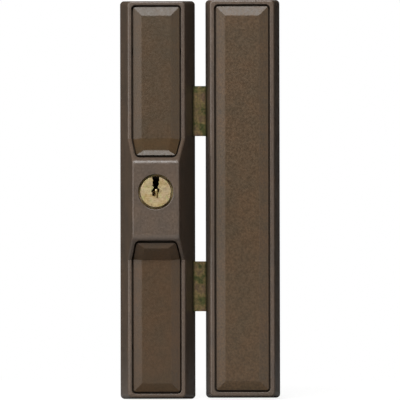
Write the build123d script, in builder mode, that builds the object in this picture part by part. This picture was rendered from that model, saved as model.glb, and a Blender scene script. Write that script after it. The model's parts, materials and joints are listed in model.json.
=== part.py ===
from build123d import *
import math
import os

os.makedirs("parts", exist_ok=True)

# A surface-mounted window lock in two halves, in millimetres. The lock case stands at the origin
# and the strike case beside it, on +X. Both are screwed to the plane y = 0 and look along -Y, so
# the height of anything over its mounting plane is -y. +Z runs up the long cases. The origin is
# the middle of the lock case's mounting face.

# Both cases
CASE_LENGTH = 195.6
RIM_HEIGHT = 21.0
END_DRAFT = 1.2
WALL = 2.0
CORNER_RADIUS = 2.0
EDGE_ROUND = 1.0
POCKET_ROUND = 0.3
CASE_GAP = 5.2

# Pockets in the front of the cases, and the covers in them
POCKET_DEPTH = 2.8
POCKET_WEB = 2.0
POCKET_CORNER = 2.1
COVER_GROOVE = 1.05
COVER_PROUD = 0.3
COVER_BEVEL = 4.1
BEVEL_DROP = 1.3
COVER_HOLLOW = 1.3
COVER_EDGE = 5.5
CROWN_ROUND = 2.0

# Lock case
LOCK_BASE_WIDTH = 36.8
LOCK_RIM_WIDTH = 27.9
LOCK_RIM = 1.85
PLATFORM_HEIGHT = 33.0
PLATFORM_LENGTH = 37.0
CREST_ROUND = 3.6
RAMP_RUN = 11.1
RAMP_RIM = 1.6
RAMP_GROOVE = 1.25
RAMP_BEVEL = 2.2

# Strike case
STRIKE_BASE_WIDTH = 36.4
STRIKE_RIM_WIDTH = 31.4
STRIKE_RIM = 2.1
STRIKE_BEVEL = 4.4

# Snap hooks under the covers
HOOK_THICKNESS = 1.4
HOOK_WIDTH = 5.6
HOOK_REACH = 2.2
HOOK_BARB = 0.6
HOOK_INSET = 2.3
HOOK_PLAY = 0.25
HOOK_END_DISTANCE = 12.1
HOOK_MIDDLE_DISTANCE = 42.0

# Base plates, their screws, and the posts for the screws that fix the cases to the window
PLATE_THICKNESS = 1.5
PLATE_PLAY = 0.15
FIXING_SPACING_X = 13.6
FIXING_SPACING_Z = 144.0
FIXING_HOLE_RADIUS = 2.6
FIXING_HEAD_RADIUS = 5.2
FIXING_HEAD_SEAT = 6.0
FIXING_POST_RADIUS = 6.3
PLATE_SCREW_RADIUS = 1.5
PLATE_SCREW_HEAD = 3.0
PLATE_SCREW_LENGTH = 9.5
PLATE_SCREW_END = 10.1
PLATE_SCREW_RAIL_GAP = 4.65
PLATE_BOSS_RADIUS = 3.8
SCREW_PLAY = 0.08

# Bolts and the bar that carries them
BOLT_SPACING = 86.0
BOLT_Z = 0.5  # middle of the two bolts, and of the strike case
BOLT_HEIGHT = 24.5
BOLT_THICKNESS = 3.5
BOLT_PLAY = 0.3
BOLT_ENGAGEMENT = 8.0
BOLT_LEAD = 1.2
BOLT_TRAVEL = 14.0
BAR_WIDTH = 13.6
BAR_THICKNESS = 2.0
BAR_SIDE_GAP = 0.35
BAR_CORNER = 2.0
RIVET_RADIUS = 2.0
RIVET_SPACING = 13.0
RIVET_PLAY = 0.04
RAIL_WIDTH = 3.0
RAIL_HALF_LENGTH = 14.0
RAIL_RIVET_RADIUS = 1.1
RAIL_RIVET_SPACING = 20.0
RIB_THICKNESS = 2.0
RIB_WIDTH = 22.0
RIB_SPACINGS = (70.0, 104.0)

# Key cylinder
CYLINDER_Z = 3.5
FACE_RADIUS = 7.45
FACE_RING = 1.0
FACE_PROUD = 0.2
FACE_RING_DEPTH = 1.8
FACE_SEAT = 0.8
PLUG_HOLE_ROUND = 0.5
PLUG_RADIUS = 6.5
PLUG_PLAY = 0.05
BARREL_RADIUS = 9.3
CHAMBER_WIDTH = 9.0
CHAMBER_DEPTH = 17.3
FLANGE_WIDTH = 17.0
FLANGE_THICKNESS = 2.5
FLANGE_SCREW_ABOVE = 15.5
FLANGE_SCREW_BELOW = 23.5
FLANGE_EDGE = 3.5
FLANGE_SCREW_RADIUS = 1.5
FLANGE_SCREW_HEAD = 2.7
FLANGE_SCREW_HEAD_HEIGHT = 1.7
FLANGE_SCREW_DEPTH = 8.0
FLANGE_PILLAR_RADIUS = 3.6
KEYWAY_DEPTH = 18.5
KEYWAY_MOUTH = 3.4
KEYWAY_NECK = 1.9
KEYWAY_NECK_Z = 2.1
KEYWAY_RIB = 0.85
KEYWAY_RIB_DEPTH = 0.45
KEYWAY_WING = 2.2
KEYWAY_FOOT = 3.1
KEYWAY_FOOT_HALF = 1.2
KEYWAY_FOOT_STEP = 1.0
PIN_RADIUS = 1.1
PIN_HOLE_RADIUS = 1.17
PIN_PITCH = 3.0
PIN_FIRST = 3.2
PIN_TIP = 0.9
KEY_PIN_LENGTHS = (8.0, 5.2, 6.6, 4.6, 5.6)
DRIVER_LENGTH = 4.4
SPRING_WALL = 0.35
STRIP_THICKNESS = 1.0
STRIP_WIDTH = 4.6
SHEAR_PLAY = 0.2

# Crank on the plug's tail
KEY_TURN = 90.0
CAM_THICKNESS = 2.2
CAM_PLAY = 0.4
CAM_HUB_RADIUS = 6.0
DRIVE_PIN_RADIUS = 2.5
DRIVE_PIN_SHANK = 2.0
DRIVE_PIN_EYE = 3.8
DRIVE_SLOT_PLAY = 0.5
CAM_SCREW_RADIUS = 1.5
CAM_SCREW_HEAD = 3.0
CAM_SCREW_LENGTH = 5.0

# Keepers in the strike case
KEEPER_WALL = 2.0
KEEPER_PLAY = 0.5
KEEPER_LENGTH = 12.0
KEEPER_FOOT = 5.0
KEEPER_RIVET_RADIUS = 1.5
KEEPER_RIVET_SPACING = 7.0

# Places that follow from the sizes above
LOCK_SLOPE = (LOCK_BASE_WIDTH - LOCK_RIM_WIDTH) / 2 / RIM_HEIGHT
STRIKE_SLOPE = (STRIKE_BASE_WIDTH - STRIKE_RIM_WIDTH) / 2 / RIM_HEIGHT
STRIKE_X = LOCK_BASE_WIDTH / 2 + CASE_GAP + STRIKE_BASE_WIDTH / 2
STRIKE_LEFT = STRIKE_X - STRIKE_BASE_WIDTH / 2
RAMP_FOOT = PLATFORM_LENGTH / 2 + RAMP_RUN
RAMP_ANGLE = math.atan2(PLATFORM_HEIGHT - RIM_HEIGHT, RAMP_RUN)
RAMP_LENGTH = math.hypot(PLATFORM_HEIGHT - RIM_HEIGHT, RAMP_RUN)
RIM_END = CASE_LENGTH / 2 - END_DRAFT
POCKET_FLOOR = RIM_HEIGHT - POCKET_DEPTH
CEILING = POCKET_FLOOR - POCKET_WEB
COVER_TOP = RIM_HEIGHT + COVER_PROUD
BOLT_LOW = PLATE_THICKNESS + BOLT_PLAY
BOLT_TOP = BOLT_LOW + BOLT_THICKNESS
BAR_TOP = BOLT_TOP + BAR_THICKNESS
CAM_LOW = BAR_TOP + CAM_PLAY
CAM_TOP = CAM_LOW + CAM_THICKNESS
BODY_LOW = CAM_TOP + BOLT_PLAY
BODY_TOP = PLATFORM_HEIGHT - WALL
BOLT_TIP = STRIKE_LEFT + BOLT_ENGAGEMENT
BAR_RIGHT = LOCK_BASE_WIDTH / 2 - WALL - LOCK_SLOPE * BAR_TOP - BAR_SIDE_GAP
BAR_LEFT = BAR_RIGHT - BAR_WIDTH
BAR_MIDDLE = (BAR_LEFT + BAR_RIGHT) / 2
BAR_LENGTH = BOLT_SPACING + BOLT_HEIGHT
CRANK_RADIUS = BOLT_TRAVEL / 2 / math.sin(math.radians(KEY_TURN / 2))
CRANK_DROP = CRANK_RADIUS * math.cos(math.radians(KEY_TURN / 2))
DRIVE_PIN_X = BOLT_TRAVEL / 2
DRIVE_PIN_Z = CYLINDER_Z - CRANK_DROP

# Sketch planes: FRONT looks at the case, SIDE is its long section, END its cross-section
FRONT = Plane(origin=(0, 0, 0), x_dir=(1, 0, 0), z_dir=(0, -1, 0))
SIDE = Plane(origin=(0, 0, 0), x_dir=(0, 0, 1), z_dir=(1, 0, 0))
END = Plane(origin=(0, 0, 0), x_dir=(1, 0, 0), z_dir=(0, 0, -1))
STRIKE_FRONT = Plane(origin=(STRIKE_X, 0, BOLT_Z), x_dir=(1, 0, 0), z_dir=(0, -1, 0))
STRIKE_SIDE = Plane(origin=(STRIKE_X, 0, BOLT_Z), x_dir=(0, 0, 1), z_dir=(1, 0, 0))
STRIKE_END = Plane(origin=(STRIKE_X, 0, BOLT_Z), x_dir=(1, 0, 0), z_dir=(0, 0, -1))

# Direction out of the upper ramp's face
RAMP_NORMAL = Vector(0, -math.cos(RAMP_ANGLE), math.sin(RAMP_ANGLE))


def wall_section(half_base, slope, low, high):
    """Corners of a cross-section whose side walls lean in by slope for each unit of height."""
    at_low = half_base - slope * low
    at_high = half_base - slope * high
    return [(-at_low, low), (at_low, low), (at_high, high), (-at_high, high)]


def ramp_point(along, out):
    """z and height of a point along the upper ramp from its foot, and out from its face."""
    z = RAMP_FOOT - along * math.cos(RAMP_ANGLE) + out * math.sin(RAMP_ANGLE)
    height = RIM_HEIGHT + along * math.sin(RAMP_ANGLE) + out * math.cos(RAMP_ANGLE)
    return z, height


def ramp_z(height, inset):
    """z at which the upper ramp's face, moved into the case by inset, stands at a height."""
    return (
        RAMP_FOOT - (height - RIM_HEIGHT) / math.tan(RAMP_ANGLE) - inset / math.sin(RAMP_ANGLE)
    )


def ramp_height(z, inset):
    """Height of the upper ramp's face, moved into the case by inset, at a z."""
    return RIM_HEIGHT + (RAMP_FOOT - z) * math.tan(RAMP_ANGLE) - inset / math.cos(RAMP_ANGLE)


def ramp_plane(along):
    """Plane across the upper ramp, its y out of the ramp's face."""
    z, height = ramp_point(along, 0)
    uphill = (0, -math.sin(RAMP_ANGLE), -math.cos(RAMP_ANGLE))
    return Plane(origin=(0, -height, z), x_dir=(1, 0, 0), z_dir=uphill)


def pocket_profile(end, stop):
    """Long section of the upper pocket, open to the front, with end walls at the z's end and stop."""
    return [
        (end, POCKET_FLOOR),
        (end, PLATFORM_HEIGHT + RAMP_LENGTH),
        (stop, PLATFORM_HEIGHT + RAMP_LENGTH),
        (stop, ramp_height(stop, POCKET_DEPTH)),
        (ramp_z(POCKET_FLOOR, POCKET_DEPTH), POCKET_FLOOR),
    ]


def upright_corners(shape, end, stop):
    """Edges between the side walls and the end walls of a pocket's space."""
    return shape.edges().filter_by(
        lambda edge: min(abs(edge.center().Z - end), abs(edge.center().Z - stop)) < 0.01
        and abs(edge.tangent_at(0.5).Y) > 0.9
    )


def at_mouth(edge):
    """Whether an edge lies on the front of the lock case, round the mouth of a pocket."""
    height = -edge.center().Y
    z = abs(edge.center().Z)
    half_width = LOCK_RIM_WIDTH / 2 - LOCK_RIM - LOCK_SLOPE * (height - RIM_HEIGHT)
    return (
        abs(height - max(RIM_HEIGHT, ramp_height(z, 0))) < 0.01
        and abs(edge.center().X) < half_width + 0.01
        and POCKET_STOP - 0.01 < z < POCKET_END + 0.01
    )


def crown_section(half_width, bevel, low, top):
    """Cross-section of a cover's crown: a flat with a bevel down to each side and past it."""
    flat = half_width - bevel
    side = half_width + bevel
    side_top = top - 2 * BEVEL_DROP
    return [(-side, low), (side, low), (side, side_top), (flat, top), (-flat, top), (-side, side_top)]


def spread(spacing):
    """The two places at plus and minus half a spacing."""
    return (-spacing / 2, spacing / 2)


def hook_places(half_width):
    """Centres of the upper hooks of a cover, given its half width at the pocket floor."""
    x = half_width - HOOK_INSET - HOOK_THICKNESS / 2
    z_end = CASE_LENGTH / 2 - HOOK_END_DISTANCE
    return [(side * x, z) for side in (-1, 1) for z in (HOOK_MIDDLE_DISTANCE, z_end)]


def keyway_outline():
    """Keyway about the plug's axis: a ribbed mouth, open at the top, a neck and a wider foot."""
    mouth = KEYWAY_MOUTH / 2
    neck = KEYWAY_NECK / 2
    top = FACE_RADIUS + FACE_RING
    left_ribs = [
        (-mouth + (0 if rib % 2 else KEYWAY_RIB_DEPTH), KEYWAY_NECK_Z + rib * KEYWAY_RIB)
        for rib in range(5, 0, -1)
    ]
    right_ribs = [
        (mouth - (KEYWAY_RIB_DEPTH if rib % 2 else 0), KEYWAY_NECK_Z + rib * KEYWAY_RIB)
        for rib in range(1, 5)
    ]
    foot = [
        (-neck, KEYWAY_NECK_Z),
        (-KEYWAY_WING, KEYWAY_NECK_Z - mouth),
        (-KEYWAY_WING, 0),
        (-mouth, -KEYWAY_RIB_DEPTH),
        (-mouth, -KEYWAY_FOOT + KEYWAY_FOOT_STEP),
        (0, -KEYWAY_FOOT + KEYWAY_FOOT_STEP),
        (0, -KEYWAY_FOOT),
        (KEYWAY_FOOT_HALF, -KEYWAY_FOOT),
        (KEYWAY_FOOT_HALF, -KEYWAY_RIB_DEPTH),
        (mouth, 0),
        (mouth, KEYWAY_NECK_Z - neck),
        (neck, KEYWAY_NECK_Z),
    ]
    return [(-mouth, top), *left_ribs, *foot, *right_ribs, (mouth, top)]


FIXING_PLACES = [(x, z) for x in spread(FIXING_SPACING_X) for z in spread(FIXING_SPACING_Z)]
FLANGE_SCREW_PLACES = [(0, CYLINDER_Z + FLANGE_SCREW_ABOVE), (0, CYLINDER_Z - FLANGE_SCREW_BELOW)]
BOLT_PLACES = [BOLT_Z + z for z in spread(BOLT_SPACING)]
RAIL_OFFSET = BOLT_HEIGHT / 2 + BOLT_PLAY + RAIL_WIDTH / 2
RAIL_PLACES = [(0, z + side * RAIL_OFFSET) for z in BOLT_PLACES for side in (-1, 1)]
RAIL_END_Z = BOLT_Z + BOLT_SPACING / 2 + RAIL_OFFSET + RAIL_WIDTH / 2
RAIL_RIVET_PLACES = [(x, rail[1]) for x in spread(RAIL_RIVET_SPACING) for rail in RAIL_PLACES]
BOLT_RIVET_PLACES = [(BAR_MIDDLE, z + dz) for z in BOLT_PLACES for dz in spread(RIVET_SPACING)]
PLATE_SCREW_OUTER = CASE_LENGTH / 2 - PLATE_SCREW_END
PLATE_SCREW_INNER = RAIL_END_Z + PLATE_SCREW_RAIL_GAP + PLATE_BOSS_RADIUS
PLATE_SCREW_PLACES = [
    (0, side * z) for side in (-1, 1) for z in (PLATE_SCREW_OUTER, PLATE_SCREW_INNER)
]
PIN_HEIGHTS = [BODY_TOP - PIN_FIRST - index * PIN_PITCH for index in range(len(KEY_PIN_LENGTHS))]

POCKET_HALF = LOCK_RIM_WIDTH / 2 - LOCK_RIM + LOCK_SLOPE * RIM_HEIGHT
COVER_HALF = POCKET_HALF - COVER_GROOVE
STRIKE_POCKET_HALF = STRIKE_RIM_WIDTH / 2 - STRIKE_RIM + STRIKE_SLOPE * RIM_HEIGHT
STRIKE_COVER_HALF = STRIKE_POCKET_HALF - COVER_GROOVE
STRIKE_POCKET_END = RIM_END - STRIKE_RIM
POCKET_END = RIM_END - LOCK_RIM
POCKET_STOP = PLATFORM_LENGTH / 2 + RAMP_RIM
COVER_END = POCKET_END - COVER_GROOVE
COVER_STOP = POCKET_STOP + RAMP_GROOVE

# The space of the lock case's upper pocket. Its walls lean like the case's own.
with BuildPart() as pocket_space:
    with BuildSketch(END):
        Polygon(
            *wall_section(POCKET_HALF, LOCK_SLOPE, CEILING, PLATFORM_HEIGHT + RAMP_LENGTH), align=None
        )
    extrude(amount=CASE_LENGTH, both=True)
    with BuildSketch(SIDE):
        Polygon(*pocket_profile(POCKET_END, POCKET_STOP), align=None)
    extrude(amount=LOCK_BASE_WIDTH, both=True, mode=Mode.INTERSECT)
    fillet(upright_corners(pocket_space, POCKET_END, POCKET_STOP), POCKET_CORNER)

# The same space less the groove all round, which the cover fills
with BuildPart() as cover_space:
    with BuildSketch(END):
        Polygon(
            *wall_section(COVER_HALF, LOCK_SLOPE, CEILING, PLATFORM_HEIGHT + RAMP_LENGTH), align=None
        )
    extrude(amount=CASE_LENGTH, both=True)
    with BuildSketch(SIDE):
        Polygon(*pocket_profile(COVER_END, COVER_STOP), align=None)
    extrude(amount=LOCK_BASE_WIDTH, both=True, mode=Mode.INTERSECT)
    fillet(upright_corners(cover_space, COVER_END, COVER_STOP), POCKET_CORNER - COVER_GROOVE)

# Crown of the cover's flat length, bevelled to its sides and its outer end
with BuildPart() as crown_flat:
    crown_half = COVER_HALF - LOCK_SLOPE * (COVER_TOP - BEVEL_DROP)
    with BuildSketch(END):
        Polygon(*crown_section(crown_half, COVER_BEVEL, CEILING, COVER_TOP), align=None)
    extrude(amount=CASE_LENGTH, both=True)
    with BuildSketch(SIDE):
        Polygon(
            (RAMP_FOOT - RAMP_RUN / 2, CEILING),
            (COVER_END + COVER_BEVEL, CEILING),
            (COVER_END + COVER_BEVEL, COVER_TOP - 2 * BEVEL_DROP),
            (COVER_END - COVER_BEVEL, COVER_TOP),
            (RAMP_FOOT - RAMP_RUN / 2, COVER_TOP),
            align=None,
        )
    extrude(amount=LOCK_BASE_WIDTH, both=True, mode=Mode.INTERSECT)
    fillet(
        crown_flat.faces().sort_by(Axis.Y)[0].edges().filter_by(
            lambda edge: edge.center().Z > RAMP_FOOT
        ),
        CROWN_ROUND,
    )

# Crown of the stretch on the ramp, which narrows uphill with the case from the crease on
with BuildPart() as crown_ramp:
    crease = COVER_PROUD * math.tan(RAMP_ANGLE / 2)
    for along in (-RAMP_LENGTH / 2, RAMP_LENGTH):
        half = crown_half - LOCK_SLOPE * math.sin(RAMP_ANGLE) * (along - crease)
        with BuildSketch(ramp_plane(along)):
            Polygon(*crown_section(half, COVER_BEVEL, -2 * POCKET_DEPTH, COVER_PROUD), align=None)
    loft(ruled=True)
    bevel_out = COVER_PROUD - BEVEL_DROP
    ramp_stop = (RAMP_FOOT - COVER_STOP + bevel_out * math.sin(RAMP_ANGLE)) / math.cos(RAMP_ANGLE)
    with BuildSketch(SIDE):
        Polygon(
            ramp_point(-RAMP_LENGTH / 2, -2 * POCKET_DEPTH),
            ramp_point(-RAMP_LENGTH / 2, COVER_PROUD),
            ramp_point(ramp_stop - RAMP_BEVEL, COVER_PROUD),
            ramp_point(ramp_stop + RAMP_BEVEL, COVER_PROUD - 2 * BEVEL_DROP),
            ramp_point(ramp_stop + RAMP_BEVEL, -2 * POCKET_DEPTH),
            align=None,
        )
    extrude(amount=LOCK_BASE_WIDTH, both=True, mode=Mode.INTERSECT)
    ramp_face = crown_ramp.faces().filter_by(
        lambda face: face.normal_at().dot(RAMP_NORMAL) > 0.999
    )[0]
    fillet(ramp_face.edges().filter_by(lambda edge: edge.center().Z < RAMP_FOOT), CROWN_ROUND)

with BuildPart() as upper_cover:
    add(crown_flat.part)
    add(crown_ramp.part)
    add(cover_space.part, mode=Mode.INTERSECT)
    floor_half = COVER_HALF - LOCK_SLOPE * POCKET_FLOOR
    flat_length = COVER_END - RAMP_FOOT
    with BuildSketch(FRONT.offset(POCKET_FLOOR)):
        with Locations((0, RAMP_FOOT + flat_length / 2)):
            RectangleRounded(
                2 * (floor_half - COVER_EDGE), flat_length - 2 * COVER_EDGE, POCKET_CORNER
            )
    extrude(amount=COVER_HOLLOW, mode=Mode.SUBTRACT)
    with BuildSketch(FRONT.offset(CEILING - HOOK_REACH)):
        with Locations(*hook_places(floor_half)):
            Rectangle(HOOK_THICKNESS, HOOK_WIDTH)
    extrude(amount=POCKET_FLOOR - CEILING + HOOK_REACH)
    with BuildSketch(FRONT.offset(CEILING - HOOK_REACH)):
        for x, z in hook_places(floor_half):
            with Locations((x + math.copysign(HOOK_BARB / 2, x), z)):
                Rectangle(HOOK_THICKNESS + HOOK_BARB, HOOK_WIDTH)
    extrude(amount=HOOK_REACH - HOOK_PLAY)
upper_cover.part.label = "upper_cover"
export_step(upper_cover.part, "parts/upper_cover.step")

with BuildPart() as lower_cover:
    mirror(upper_cover.part, about=Plane.XY)
lower_cover.part.label = "lower_cover"
export_step(lower_cover.part, "parts/lower_cover.step")

# Hollow of the lock case, open to the mounting plane
with BuildPart() as lock_cavity:
    with BuildSketch(END):
        Polygon(
            *wall_section(LOCK_BASE_WIDTH / 2 - WALL, LOCK_SLOPE, -WALL, BODY_TOP), align=None
        )
    extrude(amount=CASE_LENGTH, both=True)
    cavity_end = CASE_LENGTH / 2 - WALL
    roof_inset = POCKET_DEPTH + POCKET_WEB
    with BuildSketch(SIDE):
        Polygon(
            (-cavity_end, -WALL),
            (cavity_end, -WALL),
            (cavity_end - END_DRAFT, CEILING),
            (ramp_z(CEILING, roof_inset), CEILING),
            (ramp_z(BODY_TOP, roof_inset), BODY_TOP),
            (-ramp_z(BODY_TOP, roof_inset), BODY_TOP),
            (-ramp_z(CEILING, roof_inset), CEILING),
            (-cavity_end + END_DRAFT, CEILING),
            align=None,
        )
    extrude(amount=LOCK_BASE_WIDTH, both=True, mode=Mode.INTERSECT)

# Posts, bosses, pillars and ribs cast inside the lock case
with BuildPart() as lock_bosses:
    with BuildSketch(FRONT.offset(PLATE_THICKNESS)):
        with Locations(*FIXING_PLACES):
            Circle(FIXING_POST_RADIUS)
        with Locations(*PLATE_SCREW_PLACES):
            Circle(PLATE_BOSS_RADIUS)
    extrude(amount=RIM_HEIGHT)
    with BuildSketch(FRONT.offset(BODY_LOW + FLANGE_THICKNESS)):
        with Locations(*FLANGE_SCREW_PLACES):
            Circle(FLANGE_PILLAR_RADIUS)
    extrude(amount=RIM_HEIGHT)
    with BuildSketch(FRONT.offset(BAR_TOP + BOLT_PLAY)):
        for spacing in RIB_SPACINGS:
            with Locations(*[(0, z) for z in spread(spacing)]):
                Rectangle(RIB_WIDTH, RIB_THICKNESS)
    extrude(amount=RIM_HEIGHT)
    add(lock_cavity.part, mode=Mode.INTERSECT)

with BuildPart() as lock_housing:
    with BuildSketch(END):
        Polygon(*wall_section(LOCK_BASE_WIDTH / 2, LOCK_SLOPE, 0, PLATFORM_HEIGHT), align=None)
    extrude(amount=CASE_LENGTH, both=True)
    with BuildSketch(SIDE):
        Polygon(
            (-CASE_LENGTH / 2, 0),
            (CASE_LENGTH / 2, 0),
            (RIM_END, RIM_HEIGHT),
            (RAMP_FOOT, RIM_HEIGHT),
            (PLATFORM_LENGTH / 2, PLATFORM_HEIGHT),
            (-PLATFORM_LENGTH / 2, PLATFORM_HEIGHT),
            (-RAMP_FOOT, RIM_HEIGHT),
            (-RIM_END, RIM_HEIGHT),
            align=None,
        )
    extrude(amount=LOCK_BASE_WIDTH, both=True, mode=Mode.INTERSECT)
    fillet(
        lock_housing.edges().filter_by(
            lambda edge: abs(edge.center().Z) > RIM_END - CORNER_RADIUS
            and abs(edge.tangent_at(0.5).X) < 0.9
            and abs(edge.tangent_at(0.5).Z) < 0.9
        ),
        CORNER_RADIUS,
    )
    fillet(
        lock_housing.edges().filter_by(
            lambda edge: abs(edge.center().Y + PLATFORM_HEIGHT) < 0.01
            and abs(edge.tangent_at(0.5).X) > 0.9
        ),
        CREST_ROUND,
    )
    fillet(
        lock_housing.edges().filter_by(
            lambda edge: -edge.center().Y > RIM_HEIGHT - 0.01
            and (abs(edge.tangent_at(0.5).X) < 0.9 or abs(edge.center().Z) > RIM_END - CORNER_RADIUS)
        ),
        EDGE_ROUND,
    )
    add(pocket_space.part, mode=Mode.SUBTRACT)
    mirror(pocket_space.part, about=Plane.XY, mode=Mode.SUBTRACT)
    fillet(
        lock_housing.edges().filter_by(
            lambda edge: at_mouth(edge) and abs(edge.center().Z) > RAMP_FOOT
        ),
        POCKET_ROUND,
    )
    fillet(
        lock_housing.edges().filter_by(
            lambda edge: at_mouth(edge) and abs(edge.center().Z) < RAMP_FOOT
        ),
        POCKET_ROUND,
    )
    add(lock_cavity.part, mode=Mode.SUBTRACT)
    add(lock_bosses.part)
    # Holes for the fixing screws, with seats for their heads under the covers
    with BuildSketch(FRONT):
        with Locations(*FIXING_PLACES):
            Circle(FIXING_HOLE_RADIUS)
    extrude(amount=POCKET_FLOOR, mode=Mode.SUBTRACT)
    with BuildSketch(FRONT.offset(FIXING_HEAD_SEAT)):
        with Locations(*FIXING_PLACES):
            Circle(FIXING_HEAD_RADIUS)
    extrude(amount=POCKET_FLOOR, mode=Mode.SUBTRACT)
    # Blind holes for the base plate's and the cylinder's screws
    with BuildSketch(FRONT):
        with Locations(*PLATE_SCREW_PLACES):
            Circle(PLATE_SCREW_RADIUS + SCREW_PLAY)
    extrude(amount=PLATE_SCREW_LENGTH + SCREW_PLAY, mode=Mode.SUBTRACT)
    with BuildSketch(FRONT.offset(BODY_LOW)):
        with Locations(*FLANGE_SCREW_PLACES):
            Circle(FLANGE_SCREW_RADIUS + SCREW_PLAY)
    extrude(amount=FLANGE_SCREW_DEPTH + SCREW_PLAY, mode=Mode.SUBTRACT)
    # Slots for the cover hooks
    with BuildSketch(FRONT.offset(CEILING - HOOK_PLAY)):
        for x, z in hook_places(floor_half):
            with Locations(
                (x + math.copysign(HOOK_BARB / 2, x), z), (x + math.copysign(HOOK_BARB / 2, x), -z)
            ):
                Rectangle(HOOK_THICKNESS + HOOK_BARB + 2 * HOOK_PLAY, HOOK_WIDTH + 2 * HOOK_PLAY)
    extrude(amount=POCKET_WEB + 2 * HOOK_PLAY, mode=Mode.SUBTRACT)
    # Hole for the key plug's face
    with BuildSketch(FRONT.offset(BODY_TOP)):
        with Locations((0, CYLINDER_Z)):
            Circle(FACE_RADIUS + FACE_RING)
    extrude(amount=WALL, mode=Mode.SUBTRACT)
    fillet(
        lock_housing.faces().sort_by(Axis.Y)[0].edges().filter_by(GeomType.CIRCLE), PLUG_HOLE_ROUND
    )
    # Slots that the bolts leave through
    with BuildSketch(FRONT.offset(BOLT_LOW - BOLT_PLAY)):
        with Locations(*[(LOCK_BASE_WIDTH / 2, z) for z in BOLT_PLACES]):
            Rectangle(LOCK_BASE_WIDTH / 2, BOLT_HEIGHT + 2 * BOLT_PLAY)
    extrude(amount=BOLT_THICKNESS + 2 * BOLT_PLAY, mode=Mode.SUBTRACT)
lock_housing.part.label = "lock_housing"
export_step(lock_housing.part, "parts/lock_housing.step")

# Steel plate that closes the back of the lock case, with its screw heads sunk flush
with BuildPart() as lock_base_plate:
    with BuildSketch(FRONT):
        RectangleRounded(
            2 * (LOCK_BASE_WIDTH / 2 - WALL - LOCK_SLOPE * PLATE_THICKNESS - PLATE_PLAY),
            2 * (cavity_end - END_DRAFT * PLATE_THICKNESS / RIM_HEIGHT - PLATE_PLAY),
            CORNER_RADIUS / 2,
        )
        with Locations(*FIXING_PLACES):
            Circle(FIXING_HOLE_RADIUS, mode=Mode.SUBTRACT)
        with Locations(*RAIL_RIVET_PLACES):
            Circle(RAIL_RIVET_RADIUS + RIVET_PLAY, mode=Mode.SUBTRACT)
    extrude(amount=PLATE_THICKNESS)
    for x, z in PLATE_SCREW_PLACES:
        with Locations(Plane(origin=(x, 0, z), x_dir=(1, 0, 0), z_dir=(0, 1, 0))):
            CounterSinkHole(
                PLATE_SCREW_RADIUS + SCREW_PLAY, PLATE_SCREW_HEAD + SCREW_PLAY, PLATE_THICKNESS
            )
lock_base_plate.part.label = "lock_base_plate"
export_step(lock_base_plate.part, "parts/lock_base_plate.step")


def screw_profile(radius, head, length):
    """Half section of a countersunk screw about its axis, head at 0, shank along +Y."""
    return [(0, 0), (head, 0), (radius, head - radius), (radius, length), (0, length)]


with BuildPart() as plate_screw:
    with BuildSketch(Plane.XY):
        Polygon(*screw_profile(PLATE_SCREW_RADIUS, PLATE_SCREW_HEAD, PLATE_SCREW_LENGTH), align=None)
    revolve(axis=Axis.Y)

with BuildPart() as lock_plate_screws:
    for x, z in PLATE_SCREW_PLACES:
        add(plate_screw.part.rotate(Axis.X, 180).translate((x, 0, z)))
lock_plate_screws.part.label = "lock_plate_screws"
export_step(lock_plate_screws.part, "parts/lock_plate_screws.step")

# Body of the key cylinder: a barrel, the pin chamber below it and a flange with two screws
with BuildPart() as cylinder_body:
    with BuildSketch(FRONT.offset(BODY_LOW)):
        with Locations((0, CYLINDER_Z)):
            Circle(BARREL_RADIUS)
        with Locations((0, CYLINDER_Z - CHAMBER_DEPTH / 2)):
            Rectangle(CHAMBER_WIDTH, CHAMBER_DEPTH)
    extrude(amount=BODY_TOP - BODY_LOW)
    flange_high = CYLINDER_Z + FLANGE_SCREW_ABOVE + FLANGE_EDGE
    flange_low = CYLINDER_Z - FLANGE_SCREW_BELOW - FLANGE_EDGE
    with BuildSketch(FRONT.offset(BODY_LOW)):
        with Locations((0, (flange_high + flange_low) / 2)):
            RectangleRounded(FLANGE_WIDTH, flange_high - flange_low, FLANGE_EDGE)
        with Locations(*FLANGE_SCREW_PLACES):
            Circle(FLANGE_SCREW_RADIUS + SCREW_PLAY, mode=Mode.SUBTRACT)
    extrude(amount=FLANGE_THICKNESS)
    with BuildSketch(FRONT.offset(BODY_LOW)):
        with Locations((0, CYLINDER_Z)):
            Circle(PLUG_RADIUS + PLUG_PLAY)
    extrude(amount=BODY_TOP, mode=Mode.SUBTRACT)
    with BuildSketch(Plane.XY.offset(CYLINDER_Z)):
        with Locations(*[(0, -height) for height in PIN_HEIGHTS]):
            Circle(PIN_HOLE_RADIUS)
    extrude(amount=-CHAMBER_DEPTH, mode=Mode.SUBTRACT)
    with BuildSketch(Plane.XY.offset(CYLINDER_Z - CHAMBER_DEPTH)):
        with Locations((0, -(PIN_HEIGHTS[0] + PIN_HEIGHTS[-1]) / 2)):
            Rectangle(
                STRIP_WIDTH + 2 * SCREW_PLAY, PIN_HEIGHTS[0] - PIN_HEIGHTS[-1] + STRIP_WIDTH
            )
    extrude(amount=STRIP_THICKNESS, mode=Mode.SUBTRACT)
    # Round groove behind the ring that shows about the plug's face
    with BuildSketch(FRONT.offset(BODY_TOP)):
        with Locations((0, CYLINDER_Z)):
            Circle(FACE_RADIUS + FACE_RING)
            Circle(PLUG_RADIUS + FACE_SEAT, mode=Mode.SUBTRACT)
    extrude(amount=-FACE_RING_DEPTH, mode=Mode.SUBTRACT)
cylinder_body.part.label = "cylinder_body"
export_step(cylinder_body.part, "parts/cylinder_body.step")

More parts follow.
